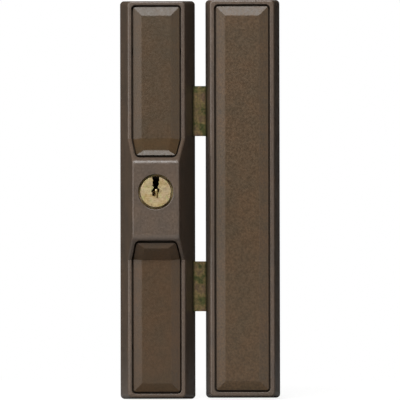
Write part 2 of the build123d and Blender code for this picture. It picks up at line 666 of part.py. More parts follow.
with BuildPart() as cylinder_screws:
    with BuildSketch(FRONT.offset(BODY_LOW - FLANGE_SCREW_HEAD_HEIGHT)):
        with Locations(*FLANGE_SCREW_PLACES):
            Circle(FLANGE_SCREW_HEAD)
    extrude(amount=FLANGE_SCREW_HEAD_HEIGHT)
    with BuildSketch(FRONT.offset(BODY_LOW)):
        with Locations(*FLANGE_SCREW_PLACES):
            Circle(FLANGE_SCREW_RADIUS)
    extrude(amount=FLANGE_SCREW_DEPTH)
cylinder_screws.part.label = "cylinder_screws"
export_step(cylinder_screws.part, "parts/cylinder_screws.step")

# Key plug: a round face in front of the body, and a shaft with the keyway and the pin holes.
# The keyway is wide at its mouth, at the top, and steps down past wards to a narrow foot.
with BuildPart() as cylinder_plug:
    with BuildSketch(FRONT.offset(CAM_TOP)):
        with Locations((0, CYLINDER_Z)):
            Circle(PLUG_RADIUS)
    extrude(amount=BODY_TOP + PLUG_PLAY - CAM_TOP)
    with BuildSketch(FRONT.offset(BODY_TOP + PLUG_PLAY)):
        with Locations((0, CYLINDER_Z)):
            Circle(FACE_RADIUS)
    extrude(amount=PLATFORM_HEIGHT + FACE_PROUD - BODY_TOP - PLUG_PLAY)
    face_edge = cylinder_plug.faces().sort_by(Axis.Y)[0].edges()
    chamfer(face_edge, FACE_PROUD)
    with BuildSketch(FRONT.offset(PLATFORM_HEIGHT + FACE_PROUD)):
        with Locations((0, CYLINDER_Z)):
            Polygon(*keyway_outline(), align=None)
    extrude(amount=-KEYWAY_DEPTH, mode=Mode.SUBTRACT)
    with BuildSketch(Plane.XY.offset(CYLINDER_Z)):
        with Locations(*[(0, -height) for height in PIN_HEIGHTS]):
            Circle(PIN_HOLE_RADIUS)
    extrude(amount=-PLUG_RADIUS, mode=Mode.SUBTRACT)
    with BuildSketch(FRONT.offset(CAM_TOP)):
        with Locations((0, CYLINDER_Z)):
            Circle(CAM_SCREW_RADIUS + SCREW_PLAY)
    extrude(amount=CAM_SCREW_LENGTH - CAM_THICKNESS + SCREW_PLAY, mode=Mode.SUBTRACT)
cylinder_plug.part.label = "cylinder_plug"
export_step(cylinder_plug.part, "parts/cylinder_plug.step")

# Tumbler pins, at the shear line where the right key puts them
shear_z = CYLINDER_Z - math.sqrt(PLUG_RADIUS**2 - PIN_RADIUS**2)
with BuildPart() as key_pins:
    for height, length in zip(PIN_HEIGHTS, KEY_PIN_LENGTHS):
        with BuildSketch(Plane.XY.offset(shear_z)):
            with Locations((0, -height)):
                Circle(PIN_RADIUS)
        extrude(amount=length)
    fillet(key_pins.edges().filter_by(lambda edge: edge.center().Z > shear_z + PIN_TIP), PIN_TIP)
key_pins.part.label = "key_pins"
export_step(key_pins.part, "parts/key_pins.step")

driver_top = CYLINDER_Z - PLUG_RADIUS - SHEAR_PLAY
with BuildPart() as driver_pins:
    with BuildSketch(Plane.XY.offset(driver_top)):
        with Locations(*[(0, -height) for height in PIN_HEIGHTS]):
            Circle(PIN_RADIUS)
    extrude(amount=-DRIVER_LENGTH)
driver_pins.part.label = "driver_pins"
export_step(driver_pins.part, "parts/driver_pins.step")

strip_z = CYLINDER_Z - CHAMBER_DEPTH
with BuildPart() as pin_springs:
    with BuildSketch(Plane.XY.offset(strip_z + STRIP_THICKNESS)):
        with Locations(*[(0, -height) for height in PIN_HEIGHTS]):
            Circle(PIN_RADIUS)
            Circle(PIN_RADIUS - SPRING_WALL, mode=Mode.SUBTRACT)
    extrude(amount=driver_top - DRIVER_LENGTH - strip_z - STRIP_THICKNESS)
pin_springs.part.label = "pin_springs"
export_step(pin_springs.part, "parts/pin_springs.step")

with BuildPart() as chamber_strip:
    with BuildSketch(Plane.XY.offset(strip_z)):
        with Locations((0, -(PIN_HEIGHTS[0] + PIN_HEIGHTS[-1]) / 2)):
            Rectangle(
                STRIP_WIDTH, PIN_HEIGHTS[0] - PIN_HEIGHTS[-1] + STRIP_WIDTH - 2 * SCREW_PLAY
            )
    extrude(amount=STRIP_THICKNESS)
chamber_strip.part.label = "chamber_strip"
export_step(chamber_strip.part, "parts/chamber_strip.step")

# Crank on the plug's tail. Locked, its eye points down and towards the strike case.
with BuildPart() as drive_cam:
    with BuildSketch(FRONT.offset(CAM_LOW)):
        with Locations((0, CYLINDER_Z)):
            Circle(CAM_HUB_RADIUS)
        with Locations((DRIVE_PIN_X, DRIVE_PIN_Z)):
            Circle(DRIVE_PIN_EYE)
        make_hull()
        with Locations((DRIVE_PIN_X, DRIVE_PIN_Z)):
            Circle(DRIVE_PIN_SHANK + RIVET_PLAY, mode=Mode.SUBTRACT)
    extrude(amount=CAM_THICKNESS)
    with Locations(Plane(origin=(0, -CAM_LOW, CYLINDER_Z), x_dir=(1, 0, 0), z_dir=(0, 1, 0))):
        CounterSinkHole(
            CAM_SCREW_RADIUS + SCREW_PLAY, CAM_SCREW_HEAD + SCREW_PLAY, CAM_THICKNESS
        )
drive_cam.part.label = "drive_cam"
export_step(drive_cam.part, "parts/drive_cam.step")

with BuildPart() as drive_pin:
    with BuildSketch(FRONT.offset(BOLT_TOP - BOLT_PLAY)):
        with Locations((DRIVE_PIN_X, DRIVE_PIN_Z)):
            Circle(DRIVE_PIN_RADIUS)
    extrude(amount=CAM_LOW - BOLT_TOP + BOLT_PLAY)
    with BuildSketch(FRONT.offset(CAM_LOW)):
        with Locations((DRIVE_PIN_X, DRIVE_PIN_Z)):
            Circle(DRIVE_PIN_SHANK)
    extrude(amount=CAM_THICKNESS)
drive_pin.part.label = "drive_pin"
export_step(drive_pin.part, "parts/drive_pin.step")

with BuildPart() as cam_screw_blank:
    with BuildSketch(Plane.XY):
        Polygon(*screw_profile(CAM_SCREW_RADIUS, CAM_SCREW_HEAD, CAM_SCREW_LENGTH), align=None)
    revolve(axis=Axis.Y)

with BuildPart() as cam_screw:
    add(cam_screw_blank.part.rotate(Axis.X, 180).translate((0, -CAM_LOW, CYLINDER_Z)))
cam_screw.part.label = "cam_screw"
export_step(cam_screw.part, "parts/cam_screw.step")

# Bar across both bolts. The drive pin runs in its short upright slot.
with BuildPart() as bolt_bar:
    with BuildSketch(FRONT.offset(BOLT_TOP)):
        with Locations((BAR_MIDDLE, BOLT_Z)):
            RectangleRounded(BAR_WIDTH, BAR_LENGTH, BAR_CORNER)
        slot_radius = DRIVE_PIN_RADIUS + DRIVE_SLOT_PLAY
        slot_run = CRANK_RADIUS - CRANK_DROP
        with Locations((DRIVE_PIN_X, DRIVE_PIN_Z - slot_run / 2)):
            SlotCenterToCenter(slot_run, 2 * slot_radius, rotation=90, mode=Mode.SUBTRACT)
        with Locations(*BOLT_RIVET_PLACES):
            Circle(RIVET_RADIUS + RIVET_PLAY, mode=Mode.SUBTRACT)
    extrude(amount=BAR_THICKNESS)
bolt_bar.part.label = "bolt_bar"
export_step(bolt_bar.part, "parts/bolt_bar.step")

with BuildPart() as upper_bolt:
    with BuildSketch(FRONT.offset(BOLT_LOW)):
        with Locations(((BAR_LEFT + BOLT_TIP) / 2, BOLT_PLACES[1])):
            Rectangle(BOLT_TIP - BAR_LEFT, BOLT_HEIGHT)
        with Locations(*BOLT_RIVET_PLACES):
            Circle(RIVET_RADIUS + RIVET_PLAY, mode=Mode.SUBTRACT)
    extrude(amount=BOLT_THICKNESS)
    chamfer(upper_bolt.faces().sort_by(Axis.X)[-1].edges(), BOLT_LEAD)
upper_bolt.part.label = "upper_bolt"
export_step(upper_bolt.part, "parts/upper_bolt.step")

with BuildPart() as lower_bolt:
    mirror(upper_bolt.part, about=Plane.XY.offset(BOLT_Z))
lower_bolt.part.label = "lower_bolt"
export_step(lower_bolt.part, "parts/lower_bolt.step")

with BuildPart() as bolt_rivets:
    with BuildSketch(FRONT.offset(BOLT_LOW)):
        with Locations(*BOLT_RIVET_PLACES):
            Circle(RIVET_RADIUS)
    extrude(amount=BOLT_THICKNESS + BAR_THICKNESS)
bolt_rivets.part.label = "bolt_rivets"
export_step(bolt_rivets.part, "parts/bolt_rivets.step")

# Strips riveted to the base plate beside each bolt, which guide its edges
with BuildPart() as bolt_rails:
    with BuildSketch(FRONT.offset(PLATE_THICKNESS)):
        with Locations(*RAIL_PLACES):
            Rectangle(2 * RAIL_HALF_LENGTH, RAIL_WIDTH)
        with Locations(*RAIL_RIVET_PLACES):
            Circle(RAIL_RIVET_RADIUS + RIVET_PLAY, mode=Mode.SUBTRACT)
    extrude(amount=BOLT_THICKNESS)
bolt_rails.part.label = "bolt_rails"
export_step(bolt_rails.part, "parts/bolt_rails.step")

with BuildPart() as rail_rivets:
    with BuildSketch(FRONT):
        with Locations(*RAIL_RIVET_PLACES):
            Circle(RAIL_RIVET_RADIUS)
    extrude(amount=PLATE_THICKNESS + BOLT_THICKNESS)
rail_rivets.part.label = "rail_rivets"
export_step(rail_rivets.part, "parts/rail_rivets.step")

# Strike case: the same height and length as the lock case's rim, with one long cover
strike_cover_half = STRIKE_COVER_HALF - STRIKE_SLOPE * (COVER_TOP - BEVEL_DROP)
strike_floor_half = STRIKE_COVER_HALF - STRIKE_SLOPE * POCKET_FLOOR
strike_cover_end = STRIKE_POCKET_END - COVER_GROOVE
strike_hooks = hook_places(strike_floor_half)
strike_hooks += [(x, -z) for x, z in strike_hooks]
KEEPER_HALF = BOLT_HEIGHT / 2 + KEEPER_PLAY
keeper_top = BOLT_TOP + KEEPER_PLAY + KEEPER_WALL
KEEPER_LEFT = STRIKE_LEFT + WALL + STRIKE_SLOPE * keeper_top + KEEPER_PLAY
KEEPER_RIVET_PLACES = [
    (KEEPER_LEFT + KEEPER_LENGTH / 2 + dx, z + side * (KEEPER_HALF + KEEPER_WALL + KEEPER_FOOT / 2))
    for z in BOLT_PLACES
    for side in (-1, 1)
    for dx in spread(KEEPER_RIVET_SPACING)
]

with BuildPart() as strike_cover:
    with BuildSketch(STRIKE_END):
        Polygon(
            *wall_section(STRIKE_COVER_HALF, STRIKE_SLOPE, POCKET_FLOOR, PLATFORM_HEIGHT), align=None
        )
    extrude(amount=strike_cover_end, both=True)
    fillet(
        strike_cover.edges().filter_by(
            lambda edge: abs(edge.tangent_at(0.5).X) < 0.9 and abs(edge.tangent_at(0.5).Z) < 0.9
        ),
        POCKET_CORNER - COVER_GROOVE,
    )
    with BuildSketch(STRIKE_END):
        Polygon(*crown_section(strike_cover_half, STRIKE_BEVEL, CEILING, COVER_TOP), align=None)
    extrude(amount=CASE_LENGTH, both=True, mode=Mode.INTERSECT)
    with BuildSketch(STRIKE_SIDE):
        Polygon(*crown_section(strike_cover_end, STRIKE_BEVEL, CEILING, COVER_TOP), align=None)
    extrude(amount=STRIKE_BASE_WIDTH, both=True, mode=Mode.INTERSECT)
    fillet(strike_cover.faces().sort_by(Axis.Y)[0].edges(), CROWN_ROUND)
    with BuildSketch(STRIKE_FRONT.offset(POCKET_FLOOR)):
        RectangleRounded(
            2 * (strike_floor_half - COVER_EDGE),
            2 * (strike_cover_end - COVER_EDGE),
            POCKET_CORNER,
        )
    extrude(amount=COVER_HOLLOW, mode=Mode.SUBTRACT)
    with BuildSketch(STRIKE_FRONT.offset(CEILING - HOOK_REACH)):
        with Locations(*strike_hooks):
            Rectangle(HOOK_THICKNESS, HOOK_WIDTH)
    extrude(amount=POCKET_WEB + HOOK_REACH)
    with BuildSketch(STRIKE_FRONT.offset(CEILING - HOOK_REACH)):
        for x, z in strike_hooks:
            with Locations((x + math.copysign(HOOK_BARB / 2, x), z)):
                Rectangle(HOOK_THICKNESS + HOOK_BARB, HOOK_WIDTH)
    extrude(amount=HOOK_REACH - HOOK_PLAY)
strike_cover.part.label = "strike_cover"
export_step(strike_cover.part, "parts/strike_cover.step")

with BuildPart() as strike_cavity:
    with BuildSketch(STRIKE_END):
        Polygon(
            *wall_section(STRIKE_BASE_WIDTH / 2 - WALL, STRIKE_SLOPE, -WALL, CEILING), align=None
        )
    extrude(amount=cavity_end - END_DRAFT, both=True)

with BuildPart() as strike_bosses:
    with BuildSketch(STRIKE_FRONT.offset(PLATE_THICKNESS)):
        with Locations(*FIXING_PLACES):
            Circle(FIXING_POST_RADIUS)
        with Locations(*PLATE_SCREW_PLACES):
            Circle(PLATE_BOSS_RADIUS)
    extrude(amount=RIM_HEIGHT)
    add(strike_cavity.part, mode=Mode.INTERSECT)

with BuildPart() as strike_housing:
    with BuildSketch(STRIKE_END):
        Polygon(*wall_section(STRIKE_BASE_WIDTH / 2, STRIKE_SLOPE, 0, RIM_HEIGHT), align=None)
    extrude(amount=CASE_LENGTH, both=True)
    with BuildSketch(STRIKE_SIDE):
        Polygon(
            *wall_section(CASE_LENGTH / 2, END_DRAFT / RIM_HEIGHT, 0, RIM_HEIGHT), align=None
        )
    extrude(amount=STRIKE_BASE_WIDTH, both=True, mode=Mode.INTERSECT)
    fillet(
        strike_housing.edges().filter_by(
            lambda edge: abs(edge.tangent_at(0.5).X) < 0.9 and abs(edge.tangent_at(0.5).Z) < 0.9
        ),
        CORNER_RADIUS,
    )
    fillet(strike_housing.faces().sort_by(Axis.Y)[0].edges(), EDGE_ROUND)
    with BuildSketch(STRIKE_FRONT.offset(POCKET_FLOOR)):
        RectangleRounded(
            2 * (STRIKE_RIM_WIDTH / 2 - STRIKE_RIM), 2 * STRIKE_POCKET_END, POCKET_CORNER
        )
    extrude(amount=2 * POCKET_DEPTH, mode=Mode.SUBTRACT)
    fillet(
        strike_housing.edges().filter_by(
            lambda edge: abs(edge.center().Y + RIM_HEIGHT) < 0.01
            and abs(edge.center().X - STRIKE_X) < STRIKE_RIM_WIDTH / 2 - STRIKE_RIM + 0.01
            and abs(edge.center().Z - BOLT_Z) < STRIKE_POCKET_END + 0.01
        ),
        POCKET_ROUND,
    )
    add(strike_cavity.part, mode=Mode.SUBTRACT)
    add(strike_bosses.part)
    with BuildSketch(STRIKE_FRONT):
        with Locations(*FIXING_PLACES):
            Circle(FIXING_HOLE_RADIUS)
    extrude(amount=POCKET_FLOOR, mode=Mode.SUBTRACT)
    with BuildSketch(STRIKE_FRONT.offset(FIXING_HEAD_SEAT)):
        with Locations(*FIXING_PLACES):
            Circle(FIXING_HEAD_RADIUS)
    extrude(amount=POCKET_FLOOR, mode=Mode.SUBTRACT)
    with BuildSketch(STRIKE_FRONT):
        with Locations(*PLATE_SCREW_PLACES):
            Circle(PLATE_SCREW_RADIUS + SCREW_PLAY)
    extrude(amount=PLATE_SCREW_LENGTH + SCREW_PLAY, mode=Mode.SUBTRACT)
    with BuildSketch(STRIKE_FRONT.offset(CEILING - HOOK_PLAY)):
        for x, z in strike_hooks:
            with Locations((x + math.copysign(HOOK_BARB / 2, x), z)):
                Rectangle(HOOK_THICKNESS + HOOK_BARB + 2 * HOOK_PLAY, HOOK_WIDTH + 2 * HOOK_PLAY)
    extrude(amount=POCKET_WEB + 2 * HOOK_PLAY, mode=Mode.SUBTRACT)
    # Slots that the bolts enter
    with BuildSketch(FRONT.offset(BOLT_LOW - BOLT_PLAY)):
        with Locations(*[(STRIKE_LEFT, z) for z in BOLT_PLACES]):
            Rectangle(4 * WALL, BOLT_HEIGHT + 2 * KEEPER_PLAY)
    extrude(amount=BOLT_THICKNESS + BOLT_PLAY + KEEPER_PLAY, mode=Mode.SUBTRACT)
strike_housing.part.label = "strike_housing"
export_step(strike_housing.part, "parts/strike_housing.step")

with BuildPart() as strike_base_plate:
    with BuildSketch(STRIKE_FRONT):
        RectangleRounded(
            2 * (STRIKE_BASE_WIDTH / 2 - WALL - STRIKE_SLOPE * PLATE_THICKNESS - PLATE_PLAY),
            2 * (cavity_end - END_DRAFT - PLATE_PLAY),
            CORNER_RADIUS / 2,
        )
        with Locations(*FIXING_PLACES):
            Circle(FIXING_HOLE_RADIUS, mode=Mode.SUBTRACT)
        with Locations(*[(x - STRIKE_X, z - BOLT_Z) for x, z in KEEPER_RIVET_PLACES]):
            Circle(KEEPER_RIVET_RADIUS + RIVET_PLAY, mode=Mode.SUBTRACT)
    extrude(amount=PLATE_THICKNESS)
    for x, z in PLATE_SCREW_PLACES:
        screw_place = (STRIKE_X + x, 0, BOLT_Z + z)
        with Locations(Plane(origin=screw_place, x_dir=(1, 0, 0), z_dir=(0, 1, 0))):
            CounterSinkHole(
                PLATE_SCREW_RADIUS + SCREW_PLAY, PLATE_SCREW_HEAD + SCREW_PLAY, PLATE_THICKNESS
            )
strike_base_plate.part.label = "strike_base_plate"
export_step(strike_base_plate.part, "parts/strike_base_plate.step")

with BuildPart() as strike_plate_screws:
    for x, z in PLATE_SCREW_PLACES:
        add(plate_screw.part.rotate(Axis.X, 180).translate((STRIKE_X + x, 0, BOLT_Z + z)))
strike_plate_screws.part.label = "strike_plate_screws"
export_step(strike_plate_screws.part, "parts/strike_plate_screws.step")

# Keepers: steel bridges over the bolt ends, with a foot on each side
KEEPER_SIDE = Plane(origin=(KEEPER_LEFT, 0, BOLT_Z), x_dir=(0, 0, 1), z_dir=(1, 0, 0))
foot_top = PLATE_THICKNESS + KEEPER_WALL
foot_end = KEEPER_HALF + KEEPER_WALL + KEEPER_FOOT
with BuildPart() as upper_keeper:
    with BuildSketch(KEEPER_SIDE):
        with Locations((BOLT_SPACING / 2, 0)):
            Polygon(
                (-foot_end, PLATE_THICKNESS),
                (-KEEPER_HALF, PLATE_THICKNESS),
                (-KEEPER_HALF, BOLT_TOP + KEEPER_PLAY),
                (KEEPER_HALF, BOLT_TOP + KEEPER_PLAY),
                (KEEPER_HALF, PLATE_THICKNESS),
                (foot_end, PLATE_THICKNESS),
                (foot_end, foot_top),
                (KEEPER_HALF + KEEPER_WALL, foot_top),
                (KEEPER_HALF + KEEPER_WALL, keeper_top),
                (-KEEPER_HALF - KEEPER_WALL, keeper_top),
                (-KEEPER_HALF - KEEPER_WALL, foot_top),
                (-foot_end, foot_top),
                align=None,
            )
    extrude(amount=KEEPER_LENGTH)
    with BuildSketch(FRONT.offset(PLATE_THICKNESS)):
        with Locations(*KEEPER_RIVET_PLACES):
            Circle(KEEPER_RIVET_RADIUS + RIVET_PLAY)
    extrude(amount=KEEPER_WALL, mode=Mode.SUBTRACT)
upper_keeper.part.label = "upper_keeper"
export_step(upper_keeper.part, "parts/upper_keeper.step")

with BuildPart() as lower_keeper:
    mirror(upper_keeper.part, about=Plane.XY.offset(BOLT_Z))
lower_keeper.part.label = "lower_keeper"
export_step(lower_keeper.part, "parts/lower_keeper.step")

with BuildPart() as keeper_rivets:
    with BuildSketch(FRONT):
        with Locations(*KEEPER_RIVET_PLACES):
            Circle(KEEPER_RIVET_RADIUS)
    extrude(amount=PLATE_THICKNESS + KEEPER_WALL)
keeper_rivets.part.label = "keeper_rivets"
export_step(keeper_rivets.part, "parts/keeper_rivets.step")
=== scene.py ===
import json
import math

import bpy
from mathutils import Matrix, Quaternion, Vector


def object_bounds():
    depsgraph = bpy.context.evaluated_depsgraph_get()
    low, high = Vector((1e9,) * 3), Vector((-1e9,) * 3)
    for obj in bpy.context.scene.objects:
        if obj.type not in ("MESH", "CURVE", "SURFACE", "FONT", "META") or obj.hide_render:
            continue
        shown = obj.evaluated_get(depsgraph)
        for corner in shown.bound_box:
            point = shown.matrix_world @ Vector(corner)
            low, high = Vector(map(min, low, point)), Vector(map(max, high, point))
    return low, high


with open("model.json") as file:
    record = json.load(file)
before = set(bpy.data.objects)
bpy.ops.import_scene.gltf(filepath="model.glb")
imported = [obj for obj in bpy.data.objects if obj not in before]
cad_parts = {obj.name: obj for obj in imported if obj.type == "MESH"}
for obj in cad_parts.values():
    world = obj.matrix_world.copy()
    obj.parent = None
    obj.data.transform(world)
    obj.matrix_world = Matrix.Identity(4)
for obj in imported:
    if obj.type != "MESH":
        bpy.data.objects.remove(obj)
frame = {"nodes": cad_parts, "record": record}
cad_bounds = [list(corner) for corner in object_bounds()]

# All lengths and places are in metres, in the frame of the CAD model, if nothing else is said
WHITE = (1, 1, 1)

# The camera stands far off, a little to the right of the lock and a little below its middle
VIEW_CENTRE = Vector((0.02078, 0, -0.00010))
VIEW_WIDTH = 0.1967
VIEW_AZIMUTH = math.radians(1.1)
VIEW_ELEVATION = math.radians(-0.8)
VIEW_ROLL = math.radians(-0.1)
CAMERA_DISTANCE = 2.2
SENSOR_WIDTH = 36  # millimetres, as Blender has it

# Each lamp's azimuth and elevation in degrees, its side and its radiance
LAMP_DISTANCE = 1.2
LAMPS = {
    "key_light": (-6, 38, 0.5, 12.3),
    "side_light": (-54, 20, 1.3, 2.4),
    "fill_light": (27, 3, 0.35, 2.6),
    "back_light": (180, 62, 0.5, 3.0),
}

# The dim room round the lock, and the white patch straight behind it that glossy rays see too
ROOM = (0.0255, 0.0225, 0.0178)
BACKDROP_DIRECTION = (0, 1, 0)
BACKDROP_ANGLE = math.radians(7)
BACKDROP_SOFTNESS = math.radians(3)

# The floor is grey, with white added where it is to be seen white. Glossy rays begin to see it
# white at the y FLOOR_NEAR, just ahead of the cases' rims, and see it wholly so from FLOOR_AHEAD.
FLOOR_SIZE = 0.7
FLOOR_GREY = (0.3, 0.3, 0.3)
FLOOR_WHITE = 0.85
FLOOR_NEAR = -0.025
FLOOR_AHEAD = -0.055

# A Mix node's sockets where it mixes colours: three inputs and the result
MIX_FACTOR, MIX_FIRST, MIX_SECOND = 0, 6, 7
MIX_RESULT = 2


class Nodes:
    """Short forms of the nodes that the materials and the world are made of."""

    def __init__(self, tree):
        self.nodes = tree.nodes
        self.links = tree.links

    def add(self, kind, inputs, **options):
        """A new node. Each input is a value, a colour's three numbers or another node's output."""
        node = self.nodes.new(kind)
        for option, value in options.items():
            setattr(node, option, value)
        for key, value in inputs.items():
            socket = node.inputs[key]
            if isinstance(value, bpy.types.NodeSocket):
                self.links.new(value, socket)
            else:
                socket.default_value = (*value, 1) if socket.type == "RGBA" else value
        return node

    def math(self, operation, *values):
        """What one of the Math node's operations makes of the values."""
        return self.add("ShaderNodeMath", dict(enumerate(values)), operation=operation).outputs[0]

    def fit(self, value, low, high, to_low=0.0, to_high=1.0):
        """Value from its range low to high into another range, clamped to it."""
        return self.add(
            "ShaderNodeMapRange",
            {
                "Value": value,
                "From Min": low,
                "From Max": high,
                "To Min": to_low,
                "To Max": to_high,
            },
        ).outputs["Result"]

    def split(self, place):
        """The x, y and z of a place."""
        return self.add("ShaderNodeSeparateXYZ", {0: place}).outputs

    def blend(self, factor, first, second, kind="MIX"):
        """Two colours mixed by a factor from 0 to 1."""
        return self.add(
            "ShaderNodeMix",
            {MIX_FACTOR: factor, MIX_FIRST: first, MIX_SECOND: second},
            data_type="RGBA",
            blend_type=kind,
        ).outputs[MIX_RESULT]

    def white_rays(self, mirrored):
        """1 for a camera or transmission ray, the share mirrored for a glossy one, else 0."""
        path = self.nodes.new("ShaderNodeLightPath").outputs
        glossy = self.math("MULTIPLY", path["Is Glossy Ray"], mirrored)
        seen = self.math("MAXIMUM", path["Is Camera Ray"], path["Is Transmission Ray"])
        return self.math("MAXIMUM", seen, glossy)


class Finish(Nodes):
    """A node material round one Principled shader.

    Its patterns lie in the object's own coordinates, so they move with the piece.
    """

    def __init__(self, name, metallic=0.0, specular=0.5):
        self.material = bpy.data.materials.new(name)
        self.material.use_nodes = True
        super().__init__(self.material.node_tree)
        self.shader = self.nodes["Principled BSDF"]
        self.shader.inputs["Metallic"].default_value = metallic
        self.shader.inputs["Specular IOR Level"].default_value = specular
        self.place = self.nodes.new("ShaderNodeTexCoord").outputs["Object"]

    def surface(self, colour, rough, normal):
        """The material, once its colour, its roughness and its relief are joined to the shader."""
        for name, output in (("Base Color", colour), ("Roughness", rough), ("Normal", normal)):
            self.links.new(output, self.shader.inputs[name])
        return self.material

    def noise(self, size, detail=2.0, stretch=(1, 1, 1), shift=(0, 0, 0)):
        """Smooth noise from 0 to 1, whose spots are about one size across, longer along stretch."""
        scale = tuple(1 / (size * part) for part in stretch)
        place = self.add(
            "ShaderNodeMapping", {"Vector": self.place, "Scale": scale, "Location": shift}
        ).outputs[0]
        return self.add(
            "ShaderNodeTexNoise", {"Vector": place, "Scale": 1.0, "Detail": detail}
        ).outputs["Fac"]

    def stain(self, under, colour, span, most, **pattern):
        """A colour laid over the one under it in the spots of a noise, up to a share of most."""
        spots = self.fit(self.noise(**pattern), *span, 0.0, most)
        return self.blend(spots, under, colour)

    def bump(self, height, depth, base=None):
        """Relief over base, as deep as depth from the lowest to the highest value of height."""
        inputs = {"Height": height, "Distance": depth, "Strength": 1.0}
        if base is not None:
            inputs["Normal"] = base
        return self.add("ShaderNodeBump", inputs).outputs["Normal"]


# The shape of the cases that the painted shade in the pockets follows, as in the CAD model: where
# the platform ends and the ramps meet the rims, in z, their heights, where the strike case stands,
# and each pocket's half width at the rims, the lean of its sides and its end
PLATFORM_HALF = 0.0185
RAMP_FOOT = 0.0296
PLATFORM_HEIGHT = 0.033
RIM_HEIGHT = 0.021
STRIKE_X = 0.0418
STRIKE_Z = 0.0005
LOCK_POCKET_HALF = 0.0126
LOCK_LEAN = 0.212
STRIKE_POCKET_HALF = 0.0141
STRIKE_LEAN = 0.119
POCKET_END = 0.0948
POCKET_SHADE_DEPTHS = (0.0005, 0.0014)  # under the front: none to full


def painted_pocket_shade(finish):
    """0 on the outside of the cases to 1 down in the pockets, darkened there as painted shade.

    strike is 1 on the strike case and 0 on the lock case, and along and aside are how far a place
    is from that case's middle. Where a pocket's side leans, aside is taken back to the rims.
    """
    x, y, z = finish.split(finish.place)
    strike = finish.math("GREATER_THAN", x, STRIKE_X / 2)
    along = finish.math("SUBTRACT", z, finish.math("MULTIPLY", strike, STRIKE_Z))
    along = finish.math("ABSOLUTE", along)
    aside = finish.math("SUBTRACT", x, finish.math("MULTIPLY", strike, STRIKE_X))
    above = finish.math("SUBTRACT", finish.math("MULTIPLY", y, -1.0), RIM_HEIGHT)
    lean = finish.math("MULTIPLY", above, finish.fit(strike, 0, 1, LOCK_LEAN, STRIKE_LEAN))
    aside = finish.math("ADD", finish.math("ABSOLUTE", aside), lean)
    half = finish.fit(strike, 0, 1, LOCK_POCKET_HALF, STRIKE_POCKET_HALF)
    ramp = finish.fit(along, PLATFORM_HALF, RAMP_FOOT, PLATFORM_HEIGHT, RIM_HEIGHT)
    front = finish.fit(strike, 0, 1, ramp, RIM_HEIGHT)
    pocket_shade = finish.fit(finish.math("ADD", front, y), *POCKET_SHADE_DEPTHS)
    pocket_shade = finish.math("MULTIPLY", pocket_shade, finish.math("LESS_THAN", along, POCKET_END))
    return finish.math("MULTIPLY", pocket_shade, finish.math("LESS_THAN", aside, half))


# The part of a noise's range that is fitted to 0 to 1: the narrower it is, the sharper the spots
SOFT_SPAN = (0.30, 0.70)
FIRM_SPAN = (0.35, 0.65)

# A skin is a fine relief on a coarser one
FINE_SKIN = {"size": 0.0007}
FINE_SKIN_DEPTH = 0.00005

PAINT_PATCHES = {"size": 0.011, "detail": 4.0}
PAINT_SHADES = ((0.078, 0.058, 0.044), (0.098, 0.068, 0.048))
PAINT_GRAIN = {"size": 0.0011, "detail": 3.0}
PAINT_SPECKS = (1.35, 1.35, 1.35)
PAINT_ROUGHNESS = (0.29, 0.40)
PAINT_SKIN = {"size": 0.0022}
PAINT_SKIN_DEPTH = 0.00006
# Painted shade down in the pockets and grooves: its colour and roughness
POCKET_SHADE_COLOUR = (0.042, 0.029, 0.019)
POCKET_SHADE_ROUGHNESS = 0.9


def housing_paint():
    """Satin brown powder coat with a fine, slightly uneven skin, and painted shade down in the
    pockets.
    """
    finish = Finish("housing_paint")
    patches = finish.noise(**PAINT_PATCHES)
    grain = finish.noise(**PAINT_GRAIN)
    colour = finish.blend(finish.fit(patches, *FIRM_SPAN), *PAINT_SHADES)
    colour = finish.blend(finish.fit(grain, *SOFT_SPAN), colour, PAINT_SPECKS, "MULTIPLY")
    rough = finish.fit(grain, *SOFT_SPAN, *PAINT_ROUGHNESS)
    pocket_shade = painted_pocket_shade(finish)
    skin = finish.bump(finish.noise(**PAINT_SKIN), PAINT_SKIN_DEPTH)
    return finish.surface(
        finish.blend(pocket_shade, colour, POCKET_SHADE_COLOUR),
        finish.fit(pocket_shade, 0, 1, rough, POCKET_SHADE_ROUGHNESS),
        finish.bump(finish.noise(**FINE_SKIN), FINE_SKIN_DEPTH, skin),
    )


COVER_SPECULAR = 0.4
COVER_PATCHES = {"size": 0.009, "detail": 4.0, "shift": (3, 1, 7)}
COVER_SHADES = ((0.058, 0.039, 0.021), (0.069, 0.042, 0.021))
COVER_GRAIN = {"size": 0.0010, "detail": 3.0, "shift": (5, 2, 1)}
COVER_GRAIN_SPAN = (0.34, 0.66)
COVER_ROUGHNESS = (0.34, 0.44)
COVER_SKIN = {"size": 0.0020, "shift": (1, 4, 2)}
COVER_SKIN_DEPTH = 0.00005


def cover_plastic(name, level, tint):
    """Moulded brown plastic with a fine spark-eroded texture, browner than the paint.

    The light specks of its grain are level times as bright as the colour between them.
    """
    finish = Finish(name, specular=COVER_SPECULAR)
    patches = finish.noise(**COVER_PATCHES)
    grain = finish.noise(**COVER_GRAIN)
    dark, light = (
        tuple(share * part for share, part in zip(tint, shade)) for shade in COVER_SHADES
    )
    colour = finish.blend(finish.fit(patches, *FIRM_SPAN), dark, light)
    specks = finish.fit(grain, *COVER_GRAIN_SPAN)
    skin = finish.bump(finish.noise(**COVER_SKIN), COVER_SKIN_DEPTH)
    return finish.surface(
        finish.blend(specks, colour, (level, level, level), "MULTIPLY"),
        finish.fit(grain, *SOFT_SPAN, *COVER_ROUGHNESS),
        finish.bump(finish.noise(**FINE_SKIN), FINE_SKIN_DEPTH, skin),
    )


# Painted shade darkens the brass in a recess. It fades in over these lengths, in depth and in
# height.
RECESS_SHADE_COLOUR = (0.012, 0.009, 0.006)
RECESS_SHADE_ROUGHNESS = 0.8
RECESS_SHADE_DEPTH_FADE = 0.0008
RECESS_SHADE_HEIGHT_FADE = 0.0006


